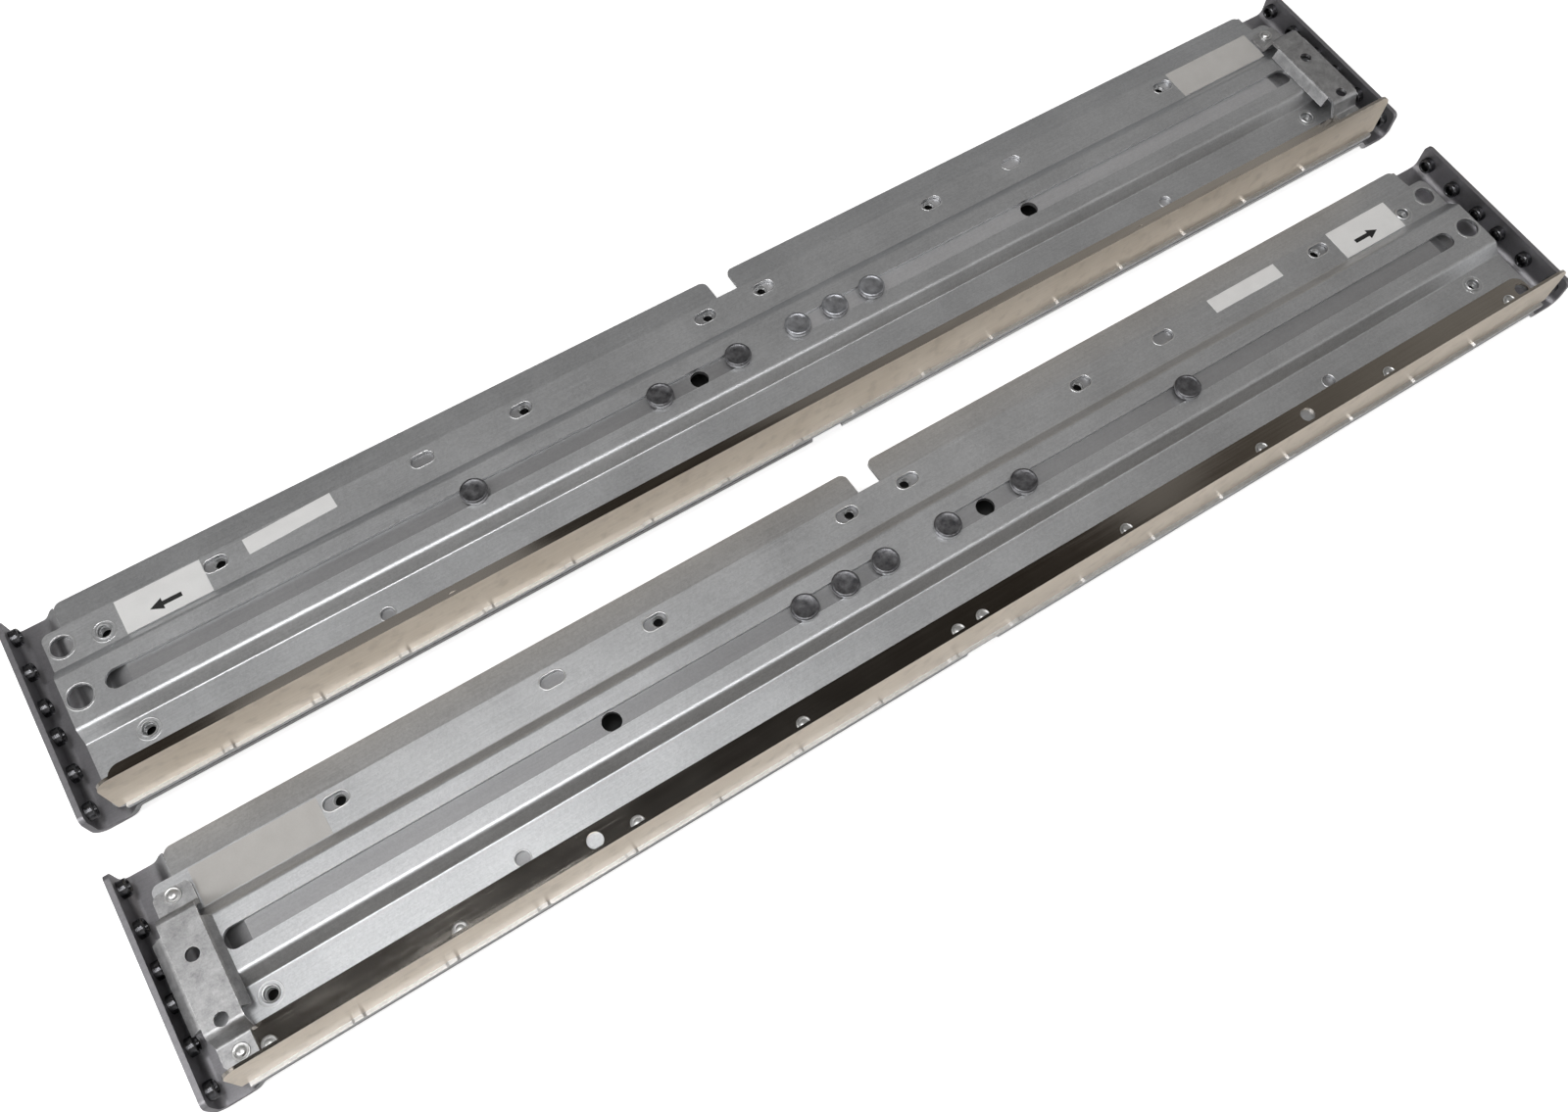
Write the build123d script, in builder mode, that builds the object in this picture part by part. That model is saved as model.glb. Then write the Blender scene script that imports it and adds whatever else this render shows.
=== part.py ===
from build123d import *
import os
from math import radians, sqrt, tan

# A pair of length-adjustable server rack rails, lying flat side by side.
# Each rail is a long channel with two brackets nested under it. The brackets slide
# along the channel to fit the depth of a rack, and end in ears that bolt to its posts.
# X runs along the rails, Y across them and Z up. All sizes are in millimetres.
# In the names and comments below, s is the distance from the middle of a rail along
# its length, and u is the distance across a rail from its lower edge.

# Sheet thicknesses
channel_sheet = 1.5
bracket_sheet = 2.0
ledge_sheet = 1.2
hat_sheet = 1.5
label_sheet = 0.15

# Bends, holes and clearances
bend_inside = 1.0
slide_gap = 0.2
stud_side_gap = 0.3
shoulder_gap = 0.3
body_margin = 0.5
label_margin = 0.6

# The pair: the distance from one rail to the same line of the other
rail_pitch = 108.0

# Half length of a channel, which everything near its ends is measured from
tongue_end = 294.5

# Channel section: a lip on the lower edge, a raised bead and a sloping upper band
bead_low = 30.0
bead_width = 32.0
upper_web = 16.0
band_width = 11.2
band_drop = 1.5
band_bend = 3.0
bead_rise = 4.5
lip_rise = 2.3
bead_high = bead_low + bead_width
bead_mid = bead_low + bead_width / 2
band_start = bead_high + upper_web
channel_width = band_start + band_width

# Heights above the surface that the pair lies on
joggle_drop = 4.8
bracket_top = joggle_drop + bracket_sheet
web_under = bracket_top + slide_gap
web_top = web_under + channel_sheet
bead_top = web_top + bead_rise
lip_top = web_top + lip_rise

# Channel plan: the web runs on as a tongue past the lip and the band
lip_inset = 4.5
band_inset = 8.0
lip_end = tongue_end - lip_inset
band_end = tongue_end - band_inset
tongue_low = 2.5
tongue_corner = 3.0
notch_half = 5.15
notch_land = 0.3
notch_corner = 3.0

# Stops along the lip's upper edge
bump_first = 14.0
bump_pitch = 34.0
bump_count = 8
bump_length = 5.0
bump_top_length = 3.0
bump_height = 0.7

# Long slots in the bead, one for each bracket
slot_width = 8.1
slot_inner = 10.3
slot_inset = 15.0
slot_outer = tongue_end - slot_inset

# Short slots in the upper web, where screws lock a bracket at a set length
short_slot_length = 9.5
short_slot_width = 5.5
short_slot_drop = 5.3
short_slot_line = band_start - short_slot_drop
short_slot_stations = (14.2, 99.8, 143.0, 228.4)

# Screw holes near the ends
screw_hole_radius = 2.5
screw_hole_inset = 21.0
screw_hole_low_drop = 6.0
screw_hole_high_drop = 9.8
screw_hole_station = tongue_end - screw_hole_inset
screw_hole_lines = (bead_low - screw_hole_low_drop, band_start - screw_hole_high_drop)

# Holes in the tongue and in the lower web
tongue_hole_inset = 5.7
tongue_hole_station = tongue_end - tongue_hole_inset
bead_hole_radius = 4.7
web_hole_radius = 4.2
web_hole_rise = 8.5
web_hole_line = bead_high + web_hole_rise
corner_hole_radius = 3.0
corner_hole_line = 10.8
lower_hole_radius = 2.75
lower_hole_line = 19.8
lower_hole_places = (-182.5, 188.2)

# Ledge angle: its standing leg carries the server when the rail is on its edge
ledge_inset = 2.0
ledge_end = tongue_end - ledge_inset
ledge_rise = 24.8
ledge_top = web_top + ledge_rise
ledge_base_top = web_top + ledge_sheet
ledge_base_edge = 17.4
ledge_corner = 6.0
ledge_base_corner = 5.0
ledge_hole_radius = 3.1
ledge_hole_line = 11.8
ledge_hole_places = (-158.4, 169.2)

# Rivet heads along the ledge angle
rivet_line = 9.3
rivet_first = 5.6
rivet_end_inset = 12.5
rivet_rows = 5
rivet_last = ledge_end - rivet_end_inset
rivet_pitch = (rivet_last - rivet_first) / (rivet_rows - 1)
rivet_radius = 2.75
rivet_height = 1.1
rivet_top_radius = 1.7

# Hat bracket over the rear end of a channel
hat_overhang = 0.5
hat_length = 13.5
hat_outer = tongue_end + hat_overhang
hat_inner = hat_outer - hat_length
hat_middle = hat_outer - hat_length / 2
hat_low_foot = 8.0
hat_low_foot_width = 8.5
hat_low_slope = 2.5
hat_high_clear = 0.5
hat_high_slope = 3.0
hat_high_foot_width = 8.5
hat_low_knee = hat_low_foot + hat_low_foot_width
hat_low_plate = hat_low_knee + hat_low_slope
hat_high_plate = bead_high + hat_high_clear
hat_high_knee = hat_high_plate + hat_high_slope
hat_high_foot = hat_high_knee + hat_high_foot_width
hat_clear = 3.6
hat_plate_top = bead_top + hat_clear + hat_sheet
hat_foot_corner = 2.5
hat_lip_low_inset = 4.0
hat_lip_high_inset = 5.5
hat_lip_low = hat_low_plate + hat_lip_low_inset
hat_lip_high = hat_high_plate - hat_lip_high_inset
hat_lip_flare = 2.6
hat_foot_gap = 0.5
hat_low_foot_start = rivet_last + rivet_radius + hat_foot_gap
hat_hole_radius = 2.5
hat_hole_low_inset = 3.2
hat_hole_high_inset = 16.2
hat_hole_lines = (hat_low_plate + hat_hole_low_inset, hat_high_plate - hat_hole_high_inset)
hat_rivet_radius = 3.0
hat_rivet_height = 1.4
hat_rivet_top_radius = 1.7
hat_rivet_low_inset = 3.4
hat_rivet_high_inset = 3.0
hat_rivet_lines = (hat_low_foot + hat_rivet_low_inset, hat_high_foot - hat_rivet_high_inset)

# Brackets: the ear holds six rack screws over two rack units
rack_unit = 44.45
rack_hole_step = 15.875
ear_shortfall = 1.3
ear_width = 2 * rack_unit - ear_shortfall
bracket_low = 0.6
bracket_inner_end = 7.0
bracket_shoulder = band_end + shoulder_gap
bracket_body_high = band_start - body_margin
joggle_inset = 6.9
joggle_run = 3.6
joggle_top = tongue_end - joggle_inset
joggle_foot = joggle_top + joggle_run
ear_reach = 10.5
ear_face = tongue_end + ear_reach
ear_inner_face = ear_face - bracket_sheet
ear_height = 15.1
ear_corner = 2.5
ear_bend_inside = 3.0
joggle_bend_top = 3.5
joggle_bend_foot = 3.0
bead_run_inset = 15.5
bead_run_length = 8.0
bead_run_out = tongue_end - bead_run_inset
bead_full_end = bead_run_out - bead_run_length

# Nuts on the inner face of an ear, and the holes that their shanks fill
nut_height = 8.5
nut_radius = 3.4
nut_length = 3.2
nut_bore_radius = 2.1
nut_shank_gap = 0.05
ear_hole_radius = 2.65
nut_first = bracket_low + (ear_width - rack_unit - 2 * rack_hole_step) / 2
nut_lines = [nut_first + unit * rack_unit + k * rack_hole_step for unit in (0, 1) for k in (0, 1, 2)]

# Guide studs, which stand on the brackets' beads and ride in the long slots
stud_radius = slot_width / 2 - stud_side_gap
stud_hole_radius = 3.8
stud_head_radius = 5.5
stud_head_height = 2.4
stud_head_rim = 0.6
stud_first = slot_inner + slot_width / 2
stud_pitch = 18.1
stud_reach = 118.3
stud_holes = (stud_first, stud_first + stud_pitch, stud_first + 2 * stud_pitch, stud_first + stud_reach)
front_studs = (stud_holes[0], stud_holes[2], stud_holes[3])
rear_studs = stud_holes[:3]

# Tapped holes in a bracket, under the short slots and the screw holes
tapped_radius = 2.1
tapped_offset = 1.2
tapped_stations = [short_slot_stations[k] - tapped_offset for k in (0, 1, 3)]

# Labels on the upper web
wide_label_width = upper_web - 2 * label_margin
wide_label_line = bead_high + upper_web / 2
direction_label_length = 33.4
direction_label_insets = {"left": 44.6, "right": 41.0}
part_label_length = 36.5
part_label_width = 7.1
part_label_drop = 4.25
part_label_line = band_start - part_label_drop
part_label_insets = {"left": 96.5, "right": 106.1}
part_label_tilts = {"left": 2.2, "right": 0.0}
rear_label_length = 47.0
rear_label_gap = 0.5
rear_label_station = hat_inner - rear_label_gap - rear_label_length / 2

# The two rails are centred on X and Y together
pair_width = rail_pitch + channel_width
left_base = pair_width / 2 - channel_width
right_base = -pair_width / 2

# Turned pieces are placed by the middle of their lower face
seated = (Align.CENTER, Align.CENTER, Align.MIN)

# A 45 degree bend moves a corner by this share of the depth below the channel's face
bend_shift = tan(radians(22.5))


def plan_plane(base, height):
    """Level plane over one rail, with X and u as its axes."""
    return Plane(origin=(0, base, height))


def cross_plane(place, base):
    """Upright plane across one rail at X = place, with u and Z as its axes."""
    return Plane(origin=(place, base, 0), x_dir=(0, 1, 0), z_dir=(1, 0, 0))


def side_plane(out, line):
    """Upright plane along a rail at Y = line, with s and Z as its axes."""
    return Plane(origin=(0, line, 0), x_dir=(out, 0, 0), z_dir=(0, -out, 0))


def bead_corners(depth):
    """Corners of the raised bead at a depth below the channel's upper face."""
    shift = bend_shift * depth
    low = web_top - depth
    high = bead_top - depth
    return [
        (bead_low + shift, low),
        (bead_low + bead_rise + shift, high),
        (bead_high - bead_rise - shift, high),
        (bead_high - shift, low),
    ]


def mirrored(stations):
    """Each station on both sides of the middle."""
    return [end * s for end in (-1, 1) for s in stations]


def screw_hole_places():
    """Places of the screw holes near both ends."""
    return [(place, line) for place in mirrored([screw_hole_station]) for line in screw_hole_lines]


def make_channel(side, base, front):
    """Pressed channel that both brackets slide under."""
    outer_bend = bend_inside + channel_sheet
    with BuildPart() as channel:
        with BuildSketch(cross_plane(-tongue_end, base)):
            with BuildLine():
                FilletPolyline(
                    (channel_sheet, lip_top),
                    (channel_sheet, web_top),
                    *bead_corners(0),
                    (band_start, web_top),
                    (channel_width, web_top - band_drop),
                    radius=[bend_inside, bend_inside, outer_bend, outer_bend, bend_inside, band_bend],
                )
                offset(amount=channel_sheet, side=Side.RIGHT)
            make_face()
        extrude(amount=2 * tongue_end)

        # The outline in plan, with every slot and hole, cut out of the pressed section
        with BuildSketch(plan_plane(base, web_top)) as outline:
            with Locations((0, (tongue_low + band_start) / 2)):
                Rectangle(2 * tongue_end, band_start - tongue_low)
            fillet(outline.vertices(), tongue_corner)
            with Locations((0, tongue_low / 2)):
                Rectangle(2 * lip_end, 2 * tongue_low)
            with Locations((0, band_start)):
                Rectangle(2 * band_end, 2 * band_width)
            with Locations((0, band_start + notch_land + band_width)):
                Rectangle(2 * notch_half, 2 * band_width, mode=Mode.SUBTRACT)
            fillet(outline.vertices().group_by(Axis.Y)[-1], notch_corner)
            with Locations(*[(place, bead_mid) for place in mirrored([(slot_inner + slot_outer) / 2])]):
                SlotOverall(slot_outer - slot_inner, slot_width, mode=Mode.SUBTRACT)
            with Locations(*[(place, short_slot_line) for place in mirrored(short_slot_stations)]):
                SlotOverall(short_slot_length, short_slot_width, mode=Mode.SUBTRACT)
            with Locations(*screw_hole_places()):
                Circle(screw_hole_radius, mode=Mode.SUBTRACT)
            with Locations(*[(place, bead_mid) for place in mirrored([tongue_hole_station])]):
                Circle(bead_hole_radius, mode=Mode.SUBTRACT)
            with Locations((front * tongue_hole_station, web_hole_line)):
                Circle(web_hole_radius, mode=Mode.SUBTRACT)
            with Locations((front * tongue_hole_station, corner_hole_line)):
                Circle(corner_hole_radius, mode=Mode.SUBTRACT)
            with Locations(*[(place, lower_hole_line) for place in lower_hole_places]):
                Circle(lower_hole_radius, mode=Mode.SUBTRACT)
        extrude(amount=bead_top, both=True, mode=Mode.INTERSECT)

        # Low stops along the lip's edge
        with BuildSketch(side_plane(1, base)):
            for place in mirrored([bump_first + k * bump_pitch for k in range(bump_count)]):
                Polygon(
                    (place - bump_length / 2, lip_top),
                    (place + bump_length / 2, lip_top),
                    (place + bump_top_length / 2, lip_top + bump_height),
                    (place - bump_top_length / 2, lip_top + bump_height),
                    align=None,
                )
        extrude(amount=-channel_sheet)
    channel.part.label = f"{side}_channel"
    export_step(channel.part, f"parts/{side}_channel.step")


def make_ledge_angle(side, base, front):
    """Bright angle against the lip, with rounded ends."""
    with BuildPart() as ledge:
        with BuildSketch(cross_plane(-ledge_end, base)):
            with BuildLine():
                FilletPolyline(
                    (channel_sheet + ledge_sheet, ledge_top),
                    (channel_sheet + ledge_sheet, ledge_base_top),
                    (ledge_base_edge, ledge_base_top),
                    radius=bend_inside,
                )
                offset(amount=ledge_sheet, side=Side.RIGHT)
            make_face()
        extrude(amount=2 * ledge_end)
        fillet(ledge.edges().filter_by(Axis.Y).group_by(Axis.Z)[-1], ledge_corner)

        # Round corners and holes in the base leg
        with BuildSketch(plan_plane(base, web_top)) as base_leg:
            Rectangle(2 * ledge_end, 2 * ledge_base_edge)
            fillet(base_leg.vertices().group_by(Axis.Y)[-1], ledge_base_corner)
            with Locations(*[(place, ledge_hole_line) for place in ledge_hole_places]):
                Circle(ledge_hole_radius, mode=Mode.SUBTRACT)
            with Locations((front * tongue_hole_station, corner_hole_line)):
                Circle(corner_hole_radius, mode=Mode.SUBTRACT)
        extrude(amount=2 * ledge_rise, both=True, mode=Mode.INTERSECT)
    ledge.part.label = f"{side}_ledge_angle"
    export_step(ledge.part, f"parts/{side}_ledge_angle.step")


def make_ledge_rivets(side, base):
    """Ten rivet heads along the ledge angle's base leg."""
    stations = [rivet_first + k * rivet_pitch for k in range(rivet_rows)]
    with BuildPart(plan_plane(base, ledge_base_top)) as rivets:
        with Locations(*[(place, rivet_line) for place in mirrored(stations)]):
            Cone(rivet_radius, rivet_top_radius, rivet_height, align=seated)
    rivets.part.label = f"{side}_ledge_rivets"
    export_step(rivets.part, f"parts/{side}_ledge_rivets.step")


def make_hat_bracket(side, base, rear):
    """Bridge over the rear end of the bead, with a flared lip on each long side."""
    outer_bend = bend_inside + hat_sheet
    low_foot_top = ledge_base_top + hat_sheet
    high_foot_top = web_top + hat_sheet
    with BuildPart() as hat:
        with BuildSketch(cross_plane(rear * hat_inner, base)):
            with BuildLine():
                FilletPolyline(
                    (hat_low_foot, low_foot_top),
                    (hat_low_knee, low_foot_top),
                    (hat_low_plate, hat_plate_top),
                    (hat_high_plate, hat_plate_top),
                    (hat_high_knee, high_foot_top),
                    (hat_high_foot, high_foot_top),
                    radius=[bend_inside, outer_bend, outer_bend, bend_inside],
                )
                offset(amount=hat_sheet, side=Side.RIGHT)
            make_face()
        extrude(amount=rear * hat_length)

        # The feet have rounded corners, and the lower one clears the rivet beside it
        with BuildSketch(plan_plane(base, web_top)) as outline:
            with Locations((rear * hat_middle, (hat_low_foot + hat_high_foot) / 2)):
                Rectangle(hat_length, hat_high_foot - hat_low_foot)
            fillet(outline.vertices(), hat_foot_corner)
            with Locations((rear * hat_inner, hat_low_foot)):
                Rectangle(
                    2 * (hat_low_foot_start - hat_inner),
                    2 * (hat_low_knee - hat_low_foot),
                    mode=Mode.SUBTRACT,
                )
        extrude(amount=hat_plate_top, mode=Mode.INTERSECT)

        with BuildSketch(side_plane(rear, base + hat_lip_low)):
            with BuildLine():
                FilletPolyline(
                    (hat_inner - hat_lip_flare, bead_top),
                    (hat_inner, hat_plate_top),
                    (hat_outer, hat_plate_top),
                    (hat_outer + hat_lip_flare, bead_top),
                    radius=outer_bend,
                )
                offset(amount=hat_sheet, side=Side.RIGHT)
            make_face()
        extrude(amount=-rear * (hat_lip_high - hat_lip_low))

        # The lips end level, just above the bead
        with BuildSketch(plan_plane(base, web_top)):
            with Locations((rear * hat_middle, (hat_lip_low + hat_lip_high) / 2)):
                Rectangle(2 * hat_length, hat_lip_high - hat_lip_low)
        extrude(amount=bead_rise + slide_gap, mode=Mode.SUBTRACT)

        with BuildSketch(plan_plane(base, web_top)):
            with Locations(*[(rear * hat_middle, line) for line in hat_hole_lines]):
                Circle(hat_hole_radius)
        extrude(amount=hat_plate_top, mode=Mode.SUBTRACT)
    hat.part.label = f"{side}_hat_bracket"
    export_step(hat.part, f"parts/{side}_hat_bracket.step")


def make_hat_rivets(side, base, rear):
    """Two larger rivet heads on the hat bracket's feet."""
    seats = (ledge_base_top + hat_sheet, web_top + hat_sheet)
    with BuildPart(plan_plane(base, 0)) as rivets:
        with Locations(*[(rear * hat_middle, line, seat) for line, seat in zip(hat_rivet_lines, seats)]):
            Cone(hat_rivet_radius, hat_rivet_top_radius, hat_rivet_height, align=seated)
    rivets.part.label = f"{side}_hat_rivets"
    export_step(rivets.part, f"parts/{side}_hat_rivets.step")


def make_bracket(side, end, base, out, studs):
    """Sliding bracket: a beaded plate, a step down and an ear turned up at its end."""
    depth = channel_sheet + slide_gap
    outer = bead_corners(depth)
    inner = bead_corners(depth + bracket_sheet)
    run_slope = bead_rise / (bead_run_out - bead_full_end)
    run_shift = bracket_sheet * (sqrt(1 + run_slope**2) - 1) / run_slope
    with BuildPart() as core:
        with BuildSketch(cross_plane(out * bracket_inner_end, base)) as section:
            Polygon(*[(u, z) for u, z in inner], align=None)
            fillet(section.vertices().group_by(Axis.Y)[-1], bend_inside)
        extrude(amount=out * (bead_run_out - run_shift - bracket_inner_end))
        with BuildSketch(side_plane(out, base)):
            Polygon(
                (bead_run_out - run_shift, joggle_drop),
                (bead_run_out - run_shift, bead_top),
                (bead_run_out - run_shift - (bead_top - joggle_drop) / run_slope, bead_top),
                align=None,
            )
        extrude(amount=-out * channel_width, mode=Mode.SUBTRACT)

    with BuildPart() as bracket:
        with BuildSketch(side_plane(out, base + bracket_low)):
            with BuildLine():
                FilletPolyline(
                    (bracket_inner_end, bracket_top),
                    (joggle_top, bracket_top),
                    (joggle_foot, bracket_sheet),
                    (ear_inner_face, bracket_sheet),
                    (ear_inner_face, ear_height),
                    radius=[joggle_bend_top, joggle_bend_foot, ear_bend_inside],
                )
                offset(amount=bracket_sheet, side=Side.RIGHT)
            make_face()
        extrude(amount=-out * ear_width)
        fillet(bracket.edges().filter_by(Axis.X).group_by(Axis.Z)[-1], ear_corner)

        # Bead that nests in the channel's bead and runs out before the step
        with BuildSketch(cross_plane(out * bracket_inner_end, base)) as section:
            Polygon(*[(u, z) for u, z in outer], align=None)
            fillet(section.vertices().group_by(Axis.Y)[-1], bend_inside + bracket_sheet)
        extrude(amount=out * (bead_run_out - bracket_inner_end))
        with BuildSketch(side_plane(out, base)):
            Polygon(
                (bead_run_out, bracket_top),
                (bead_run_out, bead_top),
                (bead_run_out - (bead_top - bracket_top) / run_slope, bead_top),
                align=None,
            )
        extrude(amount=-out * channel_width, mode=Mode.SUBTRACT)
        add(core.part, mode=Mode.SUBTRACT)

        # The plate is narrower under the channel, and its shoulder meets the band's end
        with BuildSketch(plan_plane(base, joggle_drop / 2)):
            with Locations((out * bracket_shoulder / 2, bracket_body_high + band_width)):
                Rectangle(bracket_shoulder, 2 * band_width)
            open_holes = [place for place in stud_holes if place not in studs]
            with Locations(*[(out * place, bead_mid) for place in open_holes]):
                Circle(stud_hole_radius)
            with Locations(*[(out * place, short_slot_line) for place in tapped_stations]):
                Circle(tapped_radius)
            with Locations(*[(out * screw_hole_station, line) for line in screw_hole_lines]):
                Circle(tapped_radius)
        extrude(amount=bead_top, mode=Mode.SUBTRACT)

        # Screw holes in the ear
        with BuildSketch(cross_plane(out * ear_inner_face, base)):
            with Locations(*[(line, nut_height) for line in nut_lines]):
                Circle(ear_hole_radius)
        extrude(amount=out * bracket_sheet, mode=Mode.SUBTRACT)
    bracket.part.label = f"{side}_{end}_bracket"
    export_step(bracket.part, f"parts/{side}_{end}_bracket.step")


def make_ear_nuts(side, end, base, out):
    """Six clinch nuts on the inner face of an ear. Their shanks fill the ear's holes, flush with its outer face."""
    places = [(line, nut_height) for line in nut_lines]
    with BuildPart() as nuts:
        with BuildSketch(cross_plane(out * ear_face, base)):
            with Locations(*places):
                Circle(ear_hole_radius - nut_shank_gap)
        extrude(amount=-out * bracket_sheet)
        with BuildSketch(cross_plane(out * ear_inner_face, base)):
            with Locations(*places):
                Circle(nut_radius)
        extrude(amount=-out * nut_length)
        with BuildSketch(cross_plane(out * ear_face, base)):
            with Locations(*places):
                Circle(nut_bore_radius)
        extrude(amount=-out * (bracket_sheet + nut_length), mode=Mode.SUBTRACT)
    nuts.part.label = f"{side}_{end}_ear_nuts"
    export_step(nuts.part, f"parts/{side}_{end}_ear_nuts.step")


def make_studs(side, end, base, out, studs):
    """Headed studs that stand on the bracket's bead and run in a long slot."""
    foot = bead_top - channel_sheet - slide_gap
    head = bead_top + slide_gap
    with BuildPart(plan_plane(base, 0)) as pins:
        with Locations(*[(out * place, bead_mid, head) for place in studs]):
            Cylinder(stud_head_radius, stud_head_height, align=seated)
        chamfer(pins.edges().filter_by(GeomType.CIRCLE).group_by(Axis.Z)[-1], stud_head_rim)
        with Locations(*[(out * place, bead_mid, foot) for place in studs]):
            Cylinder(stud_radius, head - foot, align=seated)
    pins.part.label = f"{side}_{end}_studs"
    export_step(pins.part, f"parts/{side}_{end}_studs.step")


def make_label(node, base, place, line, length, width, tilt=0.0):
    """Thin stuck-on label, on the flat of the upper web."""
    with BuildPart() as label:
        with BuildSketch(plan_plane(base, web_top)):
            with Locations(Location((place, line, 0), (0, 0, tilt))):
                Rectangle(length, width)
        extrude(amount=label_sheet)
    label.part.label = node
    export_step(label.part, f"parts/{node}.step")


def make_labels(side, base, front):
    """The three labels of a rail: two towards its front end and one at its rear."""
    direction_place = front * (tongue_end - direction_label_insets[side])
    part_place = front * (tongue_end - part_label_insets[side])
    rear_place = -front * rear_label_station
    tilt = part_label_tilts[side]
    make_label(f"{side}_direction_label", base, direction_place, wide_label_line, direction_label_length,
               wide_label_width)
    make_label(f"{side}_part_label", base, part_place, part_label_line, part_label_length,
               part_label_width, tilt)
    make_label(f"{side}_rear_label", base, rear_place, wide_label_line, rear_label_length, wide_label_width)


def make_rail(side, base, front):
    """All the pieces of one rail, whose front end points along X * front."""
    rear = -front
    make_channel(side, base, front)
    make_ledge_angle(side, base, front)
    make_ledge_rivets(side, base)
    make_hat_bracket(side, base, rear)
    make_hat_rivets(side, base, rear)
    for end, out, studs in (("front", front, front_studs), ("rear", rear, rear_studs)):
        make_bracket(side, end, base, out, studs)
        make_ear_nuts(side, end, base, out)
        make_studs(side, end, base, out, studs)
    make_labels(side, base, front)


os.makedirs("parts", exist_ok=True)
make_rail("left", left_base, -1)
make_rail("right", right_base, 1)
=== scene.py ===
import math

import bmesh
import bpy
from mathutils import Matrix, Vector


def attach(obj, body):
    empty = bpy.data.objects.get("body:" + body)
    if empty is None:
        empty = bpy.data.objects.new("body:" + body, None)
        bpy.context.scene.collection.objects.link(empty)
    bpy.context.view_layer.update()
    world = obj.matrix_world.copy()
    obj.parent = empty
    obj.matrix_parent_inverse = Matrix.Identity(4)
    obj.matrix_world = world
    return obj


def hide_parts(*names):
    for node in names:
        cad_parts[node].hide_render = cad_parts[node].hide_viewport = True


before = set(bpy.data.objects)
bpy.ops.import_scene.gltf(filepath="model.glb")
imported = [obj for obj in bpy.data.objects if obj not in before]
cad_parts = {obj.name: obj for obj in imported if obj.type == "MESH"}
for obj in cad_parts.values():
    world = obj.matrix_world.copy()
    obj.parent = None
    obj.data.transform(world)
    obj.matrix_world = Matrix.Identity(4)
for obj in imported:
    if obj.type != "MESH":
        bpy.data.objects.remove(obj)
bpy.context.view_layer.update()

MM = 0.001

# The rails: their lower edges across the row, and the way to their front ends
SIDES = ("left", "right")
ENDS = ("front", "rear")
RAIL_BASE = {"left": 9.4, "right": -98.6}
RAIL_FRONT = {"left": -1, "right": 1}

# The photograph: its size, and the camera that the spacing of the ears' nuts gives, in pixels and millimetres
PHOTO_WIDTH = 1600
PHOTO_HEIGHT = 1135
FOCAL_PIXELS = 1477.574
CENTRE_PIXEL = (832.506, 548.707)
CAMERA_PLACE = (-172.153, -226.158, 510.465)
CAMERA_TURN = (2.602, -0.750, 0.209)
SENSOR_WIDTH = 36.0
CAMERA_CLIP = (0.01, 20)

# Lamps: place and size in metres, power in watts, and the point that each one faces. The shine lamp shows only in
# reflections, so that it brings out the metal and doesn't bleach the labels.
LAMPS = {
    "top": ((-0.30, 0.02, 1.40), (0.30, 0.30), 3.8, (-0.10, 0.0, 0.0)),
    "key": ((-1.78, -0.20, 1.60), (1.30, 1.30), 18.0, (0.0, 0.0, 0.0)),
    "strip": ((-0.25, -0.45, 1.35), (1.30, 0.20), 8.0, (-0.25, 0.0, 0.0)),
    "front": ((0.10, -1.20, 1.10), (1.80, 0.25), 0.5, (0.10, 0.0, 0.0)),
    "patch": ((-0.22, 0.70, 1.40), (0.46, 0.16), 0.09, (-0.10, 0.05, 0.0)),
    "side": ((0.80, 0.69, 1.20), (0.70, 0.70), 0.30, (0.0, 0.0, 0.0)),
}
SHINE_LAMP = "strip"

# The studio round the rails: colour by the sine of the height above the horizon, on the near side and on the far
# side. SKY_TURN is the range of a direction's Y over which the near colours turn into the far ones.
SKY_NEAR = (
    (0.00, (0.95, 0.95, 0.95)),
    (0.45, (0.80, 0.80, 0.80)),
    (0.66, (0.33, 0.32, 0.305)),
    (0.77, (0.235, 0.22, 0.20)),
    (0.84, (0.09, 0.075, 0.06)),
    (0.90, (0.035, 0.03, 0.025)),
    (1.00, (0.05, 0.05, 0.05)),
)
SKY_FAR = (
    (0.00, (0.16, 0.16, 0.16)),
    (0.45, (0.26, 0.26, 0.26)),
    (0.66, (0.315, 0.31, 0.305)),
    (0.77, (0.23, 0.22, 0.205)),
    (0.84, (0.08, 0.07, 0.06)),
    (0.90, (0.03, 0.025, 0.02)),
    (1.00, (0.05, 0.05, 0.05)),
)
SKY_TURN = (-0.2, 0.6)

# The floor: its own grey, and the light that makes it white to the camera. Under the two channels it has painted
# shade, dark and without that light, in boxes that are given by their middle and half size along X and Y, the same
# on both sides of the row's middle.
FLOOR_REACH = 6.0
FLOOR_DROP = 0.0003
FLOOR_GREY = 0.86
FLOOR_ROUGH = 0.9
PAINTED_SHADE_GREY = 0.05
PAINTED_SHADE_MIDDLE = (0.0, 0.055)
PAINTED_SHADE_HALF = (0.283, 0.0345)
FLOOR_GLOW = 0.72

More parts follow.
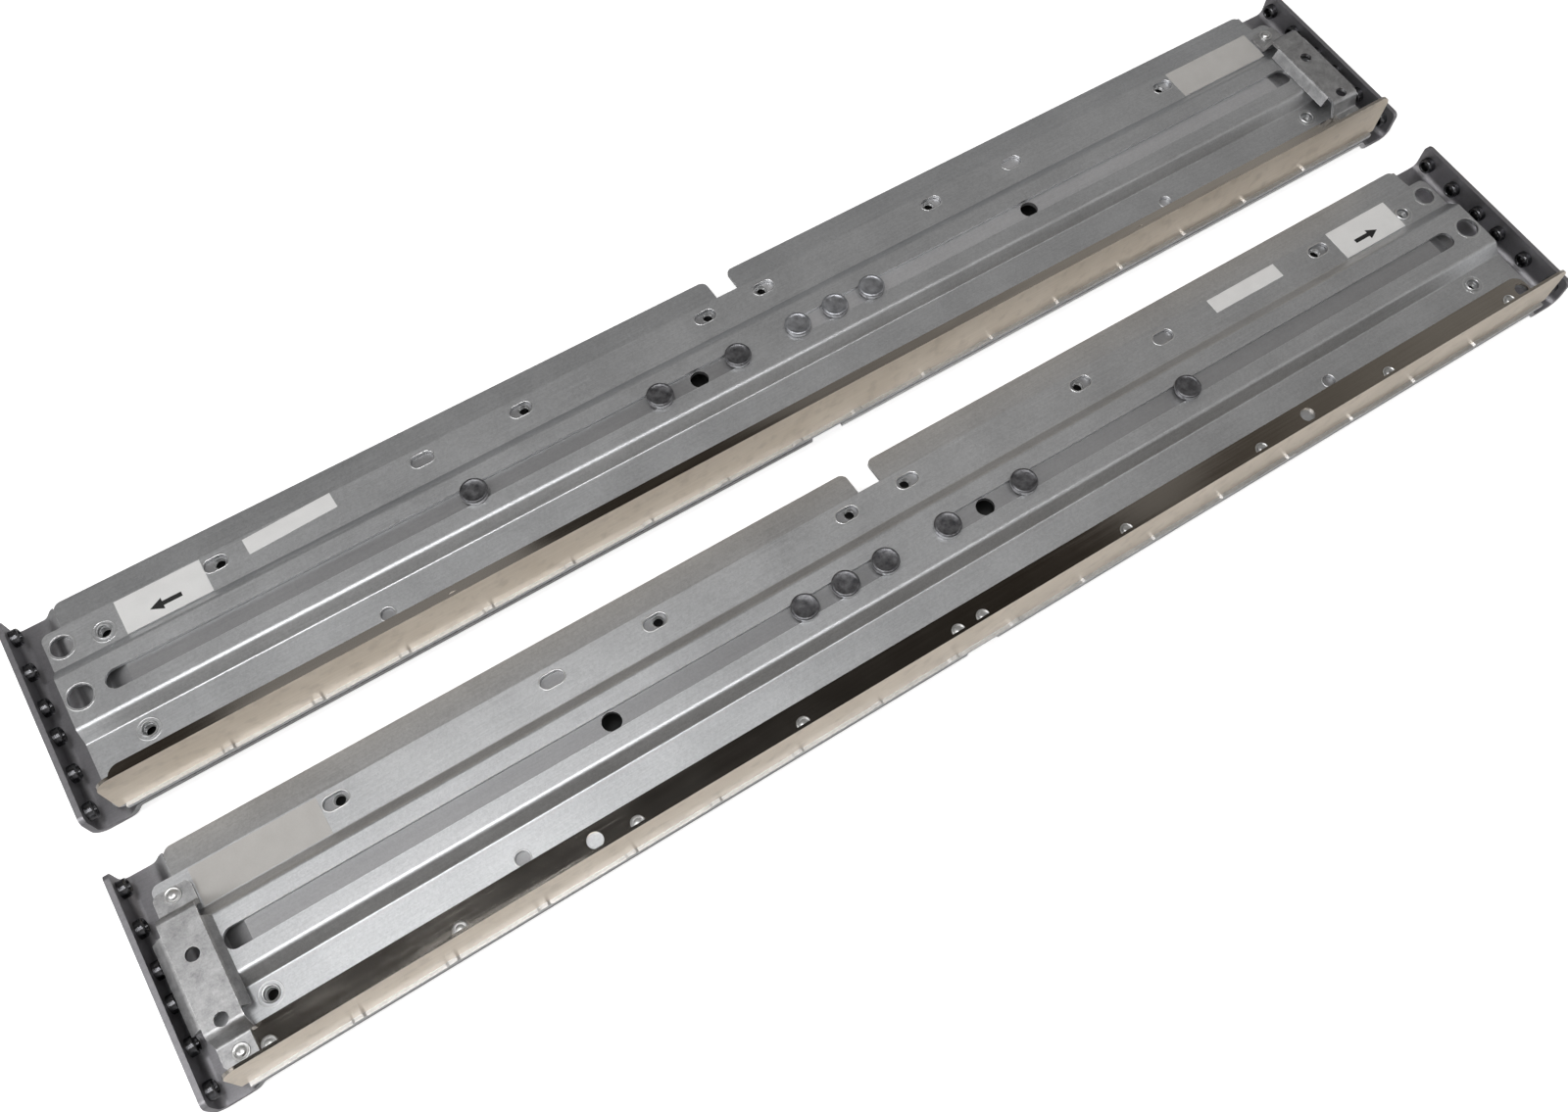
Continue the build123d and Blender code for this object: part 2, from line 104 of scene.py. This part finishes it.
# Turned pieces, as (radius, height) in millimetres above the face that each one stands on
TURN_STEPS = 48
SMOOTH_ANGLE = math.radians(38)
SAME_POINT = 1e-6
STUD_PROFILE = (
    (3.75, 0.0), (3.75, 1.9), (5.2, 1.9), (5.42, 2.02), (5.5, 2.3), (5.5, 3.5), (5.45, 3.8), (5.3, 4.05),
    (5.05, 4.22), (4.75, 4.28), (4.45, 4.24), (4.25, 4.1), (4.05, 4.02), (2.0, 4.0),
)
STUD_FACE_HEIGHT = 3.8
LEDGE_RIVET_PROFILE = (
    (2.75, 0.0), (2.75, 0.3), (2.6, 0.5), (2.35, 0.55), (2.1, 0.42), (1.95, 0.25), (1.8, 0.25), (1.7, 0.5),
    (1.5, 0.8), (1.1, 1.0), (0.6, 1.09),
)
HAT_RIVET_PROFILE = (
    (3.0, 0.0), (3.0, 0.35), (2.85, 0.55), (2.5, 0.6), (2.2, 0.45), (2.05, 0.3), (1.95, 0.45), (1.8, 0.8),
    (1.5, 1.15), (1.0, 1.34), (0.5, 1.4),
)
NUT_PROFILE = (
    (2.1, -2.0), (2.6, -2.0), (2.6, 0.0), (3.25, 0.0), (3.4, 0.15), (3.4, 2.3), (3.33, 2.7), (3.1, 3.02),
    (2.8, 3.17), (2.5, 3.2), (2.25, 3.12), (2.1, 2.9),
)

# Pressed rims round holes and slots, as (distance out from the hole's edge, height above the sheet). The collars of
# the tapped holes go down into the hole, where ridges stand for the thread.
WEB_TOP = 8.5
BEAD_TOP = 13.0
BRACKET_TOP = 6.8
PRESSED_RIM = ((0.04, -0.3), (0.0, 0.25), (0.15, 0.42), (0.4, 0.45), (0.62, 0.3), (0.75, 0.06), (0.75, -0.3))
OUTER_RIM = ((1.6, -0.2), (1.6, 0.01), (1.72, 0.07), (1.9, 0.07), (2.0, 0.01), (2.0, -0.2))
ROLLED_RIM = ((0.04, -0.3), (0.0, 0.06), (0.1, 0.14), (0.28, 0.16), (0.45, 0.08), (0.5, 0.0), (0.5, -0.3))
FAINT_RIM = ((0.5, -0.2), (0.5, 0.01), (0.62, 0.07), (0.82, 0.07), (0.92, 0.01), (0.92, -0.2))
COLLAR_RIM = (
    (0.05, -1.9), (-0.14, -1.65), (0.05, -1.4), (-0.14, -1.15), (0.05, -0.9), (-0.14, -0.65), (0.05, -0.4),
    (-0.14, -0.15), (0.0, 0.15), (0.05, 0.3), (0.12, 0.4), (0.28, 0.4), (0.4, 0.2), (0.42, 0.0), (0.42, -1.9),
)

# Holes and short slots that get a rim, in millimetres from the row's middle and from a rail's lower edge
SCREW_HOLE = 2.5
SCREW_STATION = 273.5
SCREW_LINES = (24.0, 68.2)
SLOT_STATIONS = (14.2, 99.8, 143.0, 228.4)
SLOT_LINE = 72.7
SLOT_HALF_WIDTH = 2.75
SLOT_HALF_STRAIGHT = 2.0
TAPPED_STATIONS = (13.0, 98.6, 227.2)
TAPPED_RADIUS = 2.1
END_HOLE_STATION = 288.8
BEAD_HOLE = (46.0, 4.7)
WEB_HOLE = (70.5, 4.2)
LOWER_HOLE_LINE = 19.8
LOWER_HOLE_PLACES = (-182.5, 188.2)
LOWER_HOLE_RADIUS = 2.75

# Finishes: sizes in metres of the grain, the crystals, the worn patches and the edges' worn width, how much longer
# rolling marks are than wide, and the part of a noise's or a bevel's range that is stretched to the range 0 to 1
GRAIN = 0.0005
CRYSTAL = 0.0008
WORN_PATCH = 0.0012
WORN_WIDTH = 0.0004
MARK_STRETCH = 60
NOISE_RANGE = (0.3, 0.7)
WORN_RANGE = (0.35, 0.6)
EDGE_RANGE = (1.0, 0.75)
EDGE_SAMPLES = 4

# The ledge angle: a mirror, with a tan film and darker smears on its outer face. The film comes in as the Y of the
# surface's direction goes from the first to the second value of TAN_FACES.
MIRROR_DARK = (0.38, 0.35, 0.315)
MIRROR_LIGHT = (0.47, 0.44, 0.40)
TAN_DARK = (0.68, 0.595, 0.49)
TAN_LIGHT = (0.82, 0.735, 0.63)
TAN_SMEAR = (0.48, 0.415, 0.345)
SMEAR_SHARE = 0.35
TAN_FACES = (-0.6, -0.9)

# The zinc of the four brackets differs in tone
BRACKET_DARK = (0.40, 0.40, 0.41)
BRACKET_LIGHT = (0.54, 0.54, 0.55)
BRACKET_TONES = {"left_front_bracket": 0.74, "left_rear_bracket": 1.35, "right_front_bracket": 0.85,
                 "right_rear_bracket": 0.70}

# Strips of the brackets past the channel's ends, which are darker, in metres
STRIP_START = 0.290
PAST_END_REACH = 0.004
PAST_END_DARK = (0.23, 0.225, 0.24)
PAST_END_LIGHT = (0.34, 0.335, 0.35)

# The hat bracket's lip beside the ear reaches further out than in the solid, and drops less, in millimetres
HAT_OUTER = 295.0
HAT_LIP_STRETCH = 1.75
HAT_LIP_LIFT = 0.35

# Arrow on a direction label, in millimetres
ARROW_TIP = {"left": 256.2, "right": 257.8}
ARROW_LINE = 67.6
ARROW_LENGTH = 12.4
ARROW_SHAFT = 1.9
ARROW_HEAD = 4.9
ARROW_HEAD_LENGTH = 5.0
LABEL_TOP = 8.65
INK_THICKNESS = 0.03


def link(obj):
    """Puts a new object into the scene."""
    bpy.context.scene.collection.objects.link(obj)
    return obj


class Tree:
    """A material's nodes, with short calls for the kinds that the finishes use."""

    def __init__(self, name):
        self.material = bpy.data.materials.new(name)
        self.material.use_nodes = True
        self.nodes = self.material.node_tree.nodes
        self.links = self.material.node_tree.links
        self.shader = self.nodes["Principled BSDF"]
        self.coords = self.nodes.new("ShaderNodeTexCoord").outputs["Object"]

    def put(self, value, name):
        """Gives a shader input a value, a colour or another node's output."""
        self.feed(value, self.shader.inputs[name])

    def feed(self, value, socket):
        """Gives any socket a value, a colour or another node's output."""
        if isinstance(value, bpy.types.NodeSocket):
            self.links.new(value, socket)
        elif socket.type == "RGBA":
            socket.default_value = (*value, 1)
        else:
            socket.default_value = value

    def noise(self, size, stretch=1.0, detail=3.0):
        """Cloudy value from 0 to 1 in spots about size metres wide, longer along X by stretch."""
        mapping = self.nodes.new("ShaderNodeMapping")
        mapping.inputs["Scale"].default_value = (1 / (size * stretch), 1 / size, 1 / size)
        texture = self.nodes.new("ShaderNodeTexNoise")
        texture.inputs["Scale"].default_value = 1
        texture.inputs["Detail"].default_value = detail
        self.links.new(self.coords, mapping.inputs["Vector"])
        self.links.new(mapping.outputs["Vector"], texture.inputs["Vector"])
        return self.spread(texture.outputs["Fac"], *NOISE_RANGE)

    def crystals(self, size):
        """One random value for each crystal about size metres wide."""
        texture = self.nodes.new("ShaderNodeTexVoronoi")
        texture.inputs["Scale"].default_value = 1 / size
        self.links.new(self.coords, texture.inputs["Vector"])
        split = self.nodes.new("ShaderNodeSeparateColor")
        self.links.new(texture.outputs["Color"], split.inputs["Color"])
        return split.outputs["Red"]

    def spread(self, value, low, high, to_low=0.0, to_high=1.0):
        """Stretches the range from low to high to the range from to_low to to_high."""
        node = self.nodes.new("ShaderNodeMapRange")
        for name, number in (("From Min", low), ("From Max", high), ("To Min", to_low), ("To Max", to_high)):
            node.inputs[name].default_value = number
        self.feed(value, node.inputs["Value"])
        return node.outputs["Result"]

    def math(self, operation, first, second):
        """Result of one operation on two values."""
        node = self.nodes.new("ShaderNodeMath")
        node.operation = operation
        self.feed(first, node.inputs[0])
        self.feed(second, node.inputs[1])
        return node.outputs["Value"]

    def weigh(self, *shares):
        """Sum of values, each one times its weight."""
        total = 0.0
        for value, weight in shares:
            total = self.math("ADD", self.math("MULTIPLY", value, weight), total)
        return total

    def mix(self, share, first, second):
        """Two colours mixed by share."""
        node = self.nodes.new("ShaderNodeMix")
        node.data_type = "RGBA"
        for socket, value in zip((node.inputs[0], node.inputs[6], node.inputs[7]), (share, first, second)):
            self.feed(value, socket)
        return node.outputs[2]

    def place(self, axis):
        """Distance from the middle of the row along an axis, either way."""
        split = self.nodes.new("ShaderNodeSeparateXYZ")
        self.links.new(self.coords, split.inputs["Vector"])
        return self.math("ABSOLUTE", split.outputs[axis], 0.0)

    def normal_part(self, axis):
        """One part of the surface's direction."""
        split = self.nodes.new("ShaderNodeSeparateXYZ")
        geometry = self.nodes.new("ShaderNodeNewGeometry")
        self.links.new(geometry.outputs["Normal"], split.inputs["Vector"])
        return split.outputs[axis]

    def edges(self, radius):
        """1 on sharp edges, fading to 0 at about radius metres from them."""
        bevel = self.nodes.new("ShaderNodeBevel")
        bevel.samples = EDGE_SAMPLES
        bevel.inputs["Radius"].default_value = radius
        geometry = self.nodes.new("ShaderNodeNewGeometry")
        dot = self.nodes.new("ShaderNodeVectorMath")
        dot.operation = "DOT_PRODUCT"
        self.links.new(bevel.outputs["Normal"], dot.inputs[0])
        self.links.new(geometry.outputs["Normal"], dot.inputs[1])
        return self.spread(dot.outputs["Value"], *EDGE_RANGE)

    def bump(self, height, depth):
        """Surface relief, depth metres deep."""
        node = self.nodes.new("ShaderNodeBump")
        node.inputs["Distance"].default_value = depth
        self.links.new(height, node.inputs["Height"])
        self.put(node.outputs["Normal"], "Normal")


def metal(name, dark, light, rough, wear=None, cloud=0.03, weights=(0.5, 0.25, 0.25), relief=0.00001, darker_from=None):
    """Sheet or turned metal: crystals and fine grain, slow clouds, rolling marks along X, and worn edges.

    The weights are those of grain, clouds and marks; past darker_from, along X, the metal is darker.
    """
    t = Tree(name)
    fine = t.weigh((t.crystals(CRYSTAL), 0.5), (t.noise(GRAIN), 0.5))
    marks = t.noise(GRAIN, stretch=MARK_STRETCH)
    shade = t.weigh((fine, weights[0]), (t.noise(cloud, detail=5.0), weights[1]), (marks, weights[2]))
    colour = t.mix(shade, dark, light)
    if wear:
        patches = t.spread(t.noise(WORN_PATCH), *WORN_RANGE)
        colour = t.mix(t.math("MULTIPLY", t.edges(WORN_WIDTH), patches), colour, wear)
    # Darker colours on the strips past the channel's ends, from the given distance along X on.
    if darker_from:
        ends = t.spread(t.place("X"), darker_from, darker_from + PAST_END_REACH)
        colour = t.mix(ends, colour, t.mix(shade, PAST_END_DARK, PAST_END_LIGHT))
    t.put(colour, "Base Color")
    t.put(1.0, "Metallic")
    t.put(t.spread(shade, 0.0, 1.0, *rough), "Roughness")
    t.bump(t.weigh((fine, 0.7), (marks, 0.3)), relief)
    return t.material


def ledge_metal():
    """Bright annealed sheet: near mirror inside and on its base, with a tan film on the outer face."""
    t = Tree("bright_sheet")
    outer = t.spread(t.normal_part("Y"), *TAN_FACES)
    streaks = t.noise(0.0008, stretch=MARK_STRETCH)
    cloud = t.noise(0.02, detail=5.0)
    smears = t.spread(t.noise(0.006, detail=6.0), 0.55, 0.95)
    mirror = t.mix(t.weigh((cloud, 0.5), (streaks, 0.5)), MIRROR_DARK, MIRROR_LIGHT)
    tan = t.mix(t.weigh((cloud, 0.6), (streaks, 0.4)), TAN_DARK, TAN_LIGHT)
    tan = t.mix(t.math("MULTIPLY", smears, SMEAR_SHARE), tan, TAN_SMEAR)
    t.put(t.mix(outer, mirror, tan), "Base Color")
    t.put(1.0, "Metallic")
    t.put(t.weigh((streaks, 0.05), (cloud, 0.04), (outer, 0.22), (1.0, 0.07)), "Roughness")
    t.bump(t.weigh((streaks, 0.5), (cloud, 0.5)), 0.000004)
    return t.material


def film(name, dark, light):
    """Paper-like film, slightly soiled."""
    t = Tree(name)
    fibre = t.noise(0.0004)
    dirt = t.noise(0.008, detail=5.0)
    t.put(t.mix(t.weigh((fibre, 0.4), (dirt, 0.6)), dark, light), "Base Color")
    t.put(t.spread(dirt, 0.0, 1.0, 0.45, 0.6), "Roughness")
    t.bump(fibre, 0.000005)
    return t.material


LOOKS = {
    "channel": metal("zinc_sheet", (0.41, 0.418, 0.43), (0.67, 0.678, 0.69), (0.40, 0.50), wear=(0.82, 0.83, 0.84)),
    "hat_bracket": metal("hat_plate", (0.26, 0.26, 0.265), (0.56, 0.56, 0.565), (0.38, 0.52), cloud=0.004,
                         wear=(0.90, 0.90, 0.90), weights=(0.4, 0.5, 0.1), relief=0.00003),
    "ledge_angle": ledge_metal(),
    "rim": metal("pressed_rim", (0.52, 0.525, 0.53), (0.70, 0.705, 0.71), (0.32, 0.42), cloud=0.002),
    "rivet": metal("bright_rivet", (0.50, 0.50, 0.495), (0.68, 0.68, 0.675), (0.30, 0.38), cloud=0.004,
                   weights=(0.1, 0.8, 0.1), relief=0.000002),
    "nut": metal("black_nut", (0.05, 0.05, 0.055), (0.13, 0.13, 0.135), (0.20, 0.30), cloud=0.002,
                 wear=(0.40, 0.40, 0.40)),
    "stud_side": metal("stud_side", (0.30, 0.30, 0.31), (0.46, 0.46, 0.47), (0.30, 0.40), cloud=0.002),
    "stud_face": metal("stud_face", (0.06, 0.06, 0.065), (0.24, 0.24, 0.25), (0.34, 0.48), cloud=0.0025,
                       weights=(0.3, 0.65, 0.05), relief=0.00004),
    "worn_face": metal("worn_stud_face", (0.22, 0.225, 0.24), (0.52, 0.53, 0.56), (0.32, 0.45), cloud=0.003,
                       weights=(0.3, 0.65, 0.05), relief=0.00003),
    "white_label": film("white_film", (0.86, 0.86, 0.855), (0.93, 0.93, 0.925)),
    "grey_label": film("grey_film", (0.56, 0.545, 0.525), (0.63, 0.615, 0.595)),
    "ink": film("black_ink", (0.004, 0.004, 0.004), (0.01, 0.01, 0.01)),
}
for bracket_name, tone in BRACKET_TONES.items():
    LOOKS[bracket_name] = metal(
        f"dull_sheet_{bracket_name}", [tone * part for part in BRACKET_DARK], [tone * part for part in BRACKET_LIGHT],
        (0.46, 0.54), wear=(0.72, 0.72, 0.73), darker_from=STRIP_START)


def dress(node, look):
    """Gives a CAD node its finish."""
    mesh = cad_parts[node].data
    mesh.materials.clear()
    mesh.materials.append(LOOKS[look])


def loose_parts(node):
    """Lowest and highest corners of each solid of a CAD node, in millimetres, in order along X."""
    solids = bmesh.new()
    solids.from_mesh(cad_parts[node].data)
    bmesh.ops.remove_doubles(solids, verts=solids.verts, dist=SAME_POINT)
    waiting = set(solids.verts)
    boxes = []
    while waiting:
        reached = [waiting.pop()]
        for vertex in reached:
            found = {edge.other_vert(vertex) for edge in vertex.link_edges} & waiting
            waiting -= found
            reached.extend(found)
        corners = list(zip(*(vertex.co / MM for vertex in reached)))
        boxes.append((Vector(min(c) for c in corners), Vector(max(c) for c in corners)))
    solids.free()
    return sorted(boxes, key=lambda box: box[0].x)


def along_z(x, y, z):
    """Where a turned piece stands that points up."""
    return Matrix.Translation((x, y, z))


def along_x(x, y, z, way):
    """Where a turned piece stands that points along X, forwards or back."""
    return Matrix.Translation((x, y, z)) @ Matrix.Rotation(way * math.pi / 2, 4, "Y")


def turn(mesh, profile, place, ring=False, face_height=None):
    """Turns a profile about its own axis: a closed ring, or a solid that is capped below and above.

    Faces from face_height up get the piece's second look.
    """
    rows = []
    for radius, height in profile:
        row = []
        for step in range(TURN_STEPS):
            angle = 2 * math.pi * step / TURN_STEPS
            point = Vector((radius * math.cos(angle), radius * math.sin(angle), height))
            row.append(mesh.verts.new(place @ point * MM))
        rows.append(row)
    pairs = list(zip(rows, rows[1:]))
    if ring:
        pairs.append((rows[-1], rows[0]))
    for (lower, upper), (_, height) in zip(pairs, profile):
        for i in range(TURN_STEPS):
            face = mesh.faces.new((lower[i - 1], lower[i], upper[i], upper[i - 1]))
            face.material_index = int(face_height is not None and height >= face_height)
    if not ring:
        mesh.faces.new(rows[0])
        mesh.faces.new(rows[-1]).material_index = int(face_height is not None)


def rim(mesh, centre, radius, half_straight, section, sheet_top):
    """Closed ring round a hole, or round a slot that is half_straight long each way from its middle."""
    rows = []
    for step in range(TURN_STEPS):
        angle = 2 * math.pi * (step + 0.5) / TURN_STEPS
        way = Vector((math.cos(angle), math.sin(angle)))
        middle = Vector(centre) + Vector((math.copysign(half_straight, way.x), 0))
        row = []
        for out, height in section:
            point = middle + way * (radius + out)
            row.append(mesh.verts.new(Vector((point.x, point.y, sheet_top + height)) * MM))
        rows.append(row)
    for first, second in zip(rows, rows[1:] + rows[:1]):
        for i in range(len(section)):
            mesh.faces.new((first[i - 1], first[i], second[i], second[i - 1]))


def mount(name, data, body, replaced):
    """Puts a finished mesh into the scene, says what it rides on, and hides the CAD nodes that it stands for."""
    obj = link(bpy.data.objects.new(name, data))
    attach(obj, body)
    if replaced:
        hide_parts(*replaced)


def piece(name, mesh, looks, body, replaced=()):
    """Smooths and dresses a new mesh, and mounts it."""
    bmesh.ops.recalc_face_normals(mesh, faces=mesh.faces)
    for face in mesh.faces:
        face.smooth = True
    data = bpy.data.meshes.new(name)
    mesh.to_mesh(data)
    mesh.free()
    data.set_sharp_from_angle(angle=SMOOTH_ANGLE)
    for look in looks:
        data.materials.append(LOOKS[look])
    mount(name, data, body, replaced)


def make_studs(side, end):
    """Headed studs with a rounded rim and a shallow dish."""
    node = f"{side}_{end}_studs"
    mesh = bmesh.new()
    for low, high in loose_parts(node):
        middle = (low + high) / 2
        turn(mesh, STUD_PROFILE, along_z(middle.x, middle.y, low.z), face_height=STUD_FACE_HEIGHT)
    face = "worn_face" if (side, end) == ("left", "rear") else "stud_face"
    piece(f"{side}_{end}_stud_heads", mesh, ("stud_side", face), f"{side}_{end}_slider", (node,))


def make_nuts(side, end):
    """Clinch nuts with rounded collars."""
    node = f"{side}_{end}_ear_nuts"
    mesh = bmesh.new()
    shank = -min(height for _, height in NUT_PROFILE)
    for low, high in loose_parts(node):
        middle = (low + high) / 2
        out = math.copysign(1, middle.x)
        seat = (high.x if out > 0 else low.x) - out * shank
        turn(mesh, NUT_PROFILE, along_x(seat, middle.y, middle.z, -out), ring=True)
    piece(f"{side}_{end}_nut_collars", mesh, ("nut",), f"{side}_{end}_slider", (node,))


def make_rivets(side, node_name, profile):
    """Domed rivet heads, each in its upset ring."""
    node = f"{side}_{node_name}"
    mesh = bmesh.new()
    for low, high in loose_parts(node):
        middle = (low + high) / 2
        turn(mesh, profile, along_z(middle.x, middle.y, low.z))
    piece(f"{node}_domes", mesh, ("rivet",), "rails", (node,))


def make_hat(side):
    """Copy of the hat bracket's own mesh, with the lip beside the ear opened out flatter."""
    node = f"{side}_hat_bracket"
    name = f"{side}_hat_pressing"
    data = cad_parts[node].data.copy()
    data.name = name
    rear = -RAIL_FRONT[side]
    for vertex in data.vertices:
        past = rear * vertex.co.x - HAT_OUTER * MM
        if past > 0:
            vertex.co.x += rear * past * (HAT_LIP_STRETCH - 1)
            vertex.co.z += past * HAT_LIP_LIFT
    mount(name, data, "rails", (node,))


def make_rims(side):
    """Pressed and rolled rims round the holes and short slots of a channel."""
    base, front = RAIL_BASE[side], RAIL_FRONT[side]
    mesh = bmesh.new()
    for end in (-1, 1):
        for line in SCREW_LINES if end == front else SCREW_LINES[:1]:
            centre = (end * SCREW_STATION, base + line)
            for section in (PRESSED_RIM, OUTER_RIM):
                rim(mesh, centre, SCREW_HOLE, 0, section, WEB_TOP)
        for station in SLOT_STATIONS:
            centre = (end * station, base + SLOT_LINE)
            rim(mesh, centre, SLOT_HALF_WIDTH, SLOT_HALF_STRAIGHT, ROLLED_RIM, WEB_TOP)
    for place in LOWER_HOLE_PLACES:
        rim(mesh, (place, base + LOWER_HOLE_LINE), LOWER_HOLE_RADIUS, 0, ROLLED_RIM, WEB_TOP)
    for (line, radius), top in ((BEAD_HOLE, BEAD_TOP), (WEB_HOLE, WEB_TOP)):
        rim(mesh, (front * END_HOLE_STATION, base + line), radius, 0, FAINT_RIM, top)
    piece(f"{side}_hole_rims", mesh, ("rim",), "rails")


def make_collars(side, end):
    """Raised and threaded collars of the tapped holes in a bracket, seen through the short slots."""
    way = RAIL_FRONT[side] if end == "front" else -RAIL_FRONT[side]
    mesh = bmesh.new()
    for station in TAPPED_STATIONS:
        centre = (way * station, RAIL_BASE[side] + SLOT_LINE)
        rim(mesh, centre, TAPPED_RADIUS, 0, COLLAR_RIM, BRACKET_TOP)
    for line in SCREW_LINES:
        rim(mesh, (way * SCREW_STATION, RAIL_BASE[side] + line), TAPPED_RADIUS, 0, COLLAR_RIM, BRACKET_TOP)
    piece(f"{side}_{end}_tapped_collars", mesh, ("rim",), f"{side}_{end}_slider")


def make_arrow(side):
    """Printed arrow that points to a rail's front end."""
    front = RAIL_FRONT[side]
    tip = ARROW_TIP[side]
    neck, tail = tip - ARROW_HEAD_LENGTH, tip - ARROW_LENGTH
    half_shaft, half_head = ARROW_SHAFT / 2, ARROW_HEAD / 2
    outline = ((tip, 0), (neck, half_head), (neck, half_shaft), (tail, half_shaft),
               (tail, -half_shaft), (neck, -half_shaft), (neck, -half_head))
    mesh = bmesh.new()
    middle = RAIL_BASE[side] + ARROW_LINE
    foot, top = ([mesh.verts.new(Vector((front * s, middle + across, height)) * MM) for s, across in outline]
                 for height in (LABEL_TOP, LABEL_TOP + INK_THICKNESS))
    mesh.faces.new(foot)
    mesh.faces.new(top)
    for i in range(len(outline)):
        mesh.faces.new((foot[i - 1], foot[i], top[i], top[i - 1]))
    piece(f"{side}_label_arrow", mesh, ("ink",), "rails")


def make_camera():
    """The photograph's camera, from its focal length and principal point in pixels."""
    data = bpy.data.cameras.new("camera")
    data.sensor_width = SENSOR_WIDTH
    data.lens = SENSOR_WIDTH * FOCAL_PIXELS / PHOTO_WIDTH
    data.shift_x = (PHOTO_WIDTH / 2 - CENTRE_PIXEL[0]) / PHOTO_WIDTH
    data.shift_y = (CENTRE_PIXEL[1] - PHOTO_HEIGHT / 2) / PHOTO_WIDTH
    data.clip_start, data.clip_end = CAMERA_CLIP
    camera = link(bpy.data.objects.new("camera", data))
    turned = Vector(CAMERA_TURN)
    right, down, ahead = Matrix.Rotation(turned.length, 3, turned.normalized())
    axes = Matrix((right, -down, -ahead)).transposed()
    camera.matrix_world = Matrix.Translation(Vector(CAMERA_PLACE) * MM) @ axes.to_4x4()
    bpy.context.scene.camera = camera


def make_lamp(name, place, size, power, target):
    """Soft rectangular lamp that faces a point."""
    data = bpy.data.lights.new(name, "AREA")
    data.shape = "RECTANGLE"
    data.size, data.size_y = size
    data.energy = power
    lamp = link(bpy.data.objects.new(name, data))
    lamp.visible_diffuse = name != SHINE_LAMP
    lamp.location = place
    lamp.rotation_mode = "QUATERNION"
    lamp.rotation_quaternion = (Vector(target) - Vector(place)).to_track_quat("-Z", "Y")


def make_floor():
    """Floor that is white to the camera and keeps the rails' shadow, with painted shade in boxes under the channels.
    """
    corners = [(x * FLOOR_REACH, y * FLOOR_REACH, 0) for x, y in ((-1, -1), (1, -1), (1, 1), (-1, 1))]
    mesh = bpy.data.meshes.new("floor")
    mesh.from_pydata(corners, [], [(0, 1, 2, 3)])
    floor = link(bpy.data.objects.new("floor", mesh))
    floor.location.z = -FLOOR_DROP
    t = Tree("floor")
    t.put(FLOOR_ROUGH, "Roughness")
    # Painted shade: in boxes under the channels the floor is dark and gets no glow.
    painted_shade = 1.0
    for axis, middle, half in zip("XY", PAINTED_SHADE_MIDDLE, PAINTED_SHADE_HALF):
        away = t.math("ABSOLUTE", t.math("SUBTRACT", t.place(axis), middle), 0.0)
        painted_shade = t.math("MULTIPLY", painted_shade, t.math("LESS_THAN", away, half))
    t.put(t.mix(painted_shade, (FLOOR_GREY,) * 3, (PAINTED_SHADE_GREY,) * 3), "Base Color")
    path = t.nodes.new("ShaderNodeLightPath")
    glow = t.math("MULTIPLY", path.outputs["Is Camera Ray"], FLOOR_GLOW)
    t.put((1.0, 1.0, 1.0), "Emission Color")
    t.put(t.math("MULTIPLY", glow, t.math("SUBTRACT", 1.0, painted_shade)), "Emission Strength")
    mesh.materials.append(t.material)


def make_world():
    """Bright round the horizon, brown above it and dark overhead, dimmer on the far side, and white to the camera."""
    world = bpy.data.worlds.new("studio")
    bpy.context.scene.world = world
    world.use_nodes = True
    nodes, links = world.node_tree.nodes, world.node_tree.links
    split = nodes.new("ShaderNodeSeparateXYZ")
    links.new(nodes.new("ShaderNodeTexCoord").outputs["Generated"], split.inputs["Vector"])
    far = nodes.new("ShaderNodeMapRange")
    far.inputs["From Min"].default_value, far.inputs["From Max"].default_value = SKY_TURN
    links.new(split.outputs["Y"], far.inputs["Value"])
    both = nodes.new("ShaderNodeMix")
    both.data_type = "RGBA"
    links.new(far.outputs["Result"], both.inputs[0])
    for socket, stops in zip(both.inputs[6:8], (SKY_NEAR, SKY_FAR)):
        ramp = nodes.new("ShaderNodeValToRGB")
        links.new(split.outputs["Z"], ramp.inputs["Fac"])
        elements = ramp.color_ramp.elements
        while len(elements) < len(stops):
            elements.new(0.5)
        for element, (at, colour) in zip(elements, stops):
            element.position = at
            element.color = (*colour, 1)
        links.new(ramp.outputs["Color"], socket)
    seen = nodes.new("ShaderNodeMix")
    seen.data_type = "RGBA"
    links.new(nodes.new("ShaderNodeLightPath").outputs["Is Camera Ray"], seen.inputs[0])
    links.new(both.outputs[2], seen.inputs[6])
    seen.inputs[7].default_value = (1, 1, 1, 1)
    links.new(seen.outputs[2], nodes["Background"].inputs["Color"])


make_camera()
make_floor()
make_world()
for lamp_name, (place, size, power, target) in LAMPS.items():
    make_lamp(lamp_name, place, size, power, target)
bpy.context.scene.view_settings.view_transform = "Standard"

for side in SIDES:
    dress(f"{side}_channel", "channel")
    dress(f"{side}_ledge_angle", "ledge_angle")
    dress(f"{side}_ledge_rivets", "rivet")
    dress(f"{side}_hat_bracket", "hat_bracket")
    dress(f"{side}_hat_rivets", "rivet")
    dress(f"{side}_direction_label", "white_label")
    dress(f"{side}_part_label", "white_label")
    dress(f"{side}_rear_label", "grey_label")
    make_rivets(side, "ledge_rivets", LEDGE_RIVET_PROFILE)
    make_rivets(side, "hat_rivets", HAT_RIVET_PROFILE)
    make_hat(side)
    make_rims(side)
    make_arrow(side)
    for end in ENDS:
        dress(f"{side}_{end}_bracket", f"{side}_{end}_bracket")
        dress(f"{side}_{end}_ear_nuts", "nut")
        dress(f"{side}_{end}_studs", "stud_side")
        make_studs(side, end)
        make_nuts(side, end)
        make_collars(side, end)
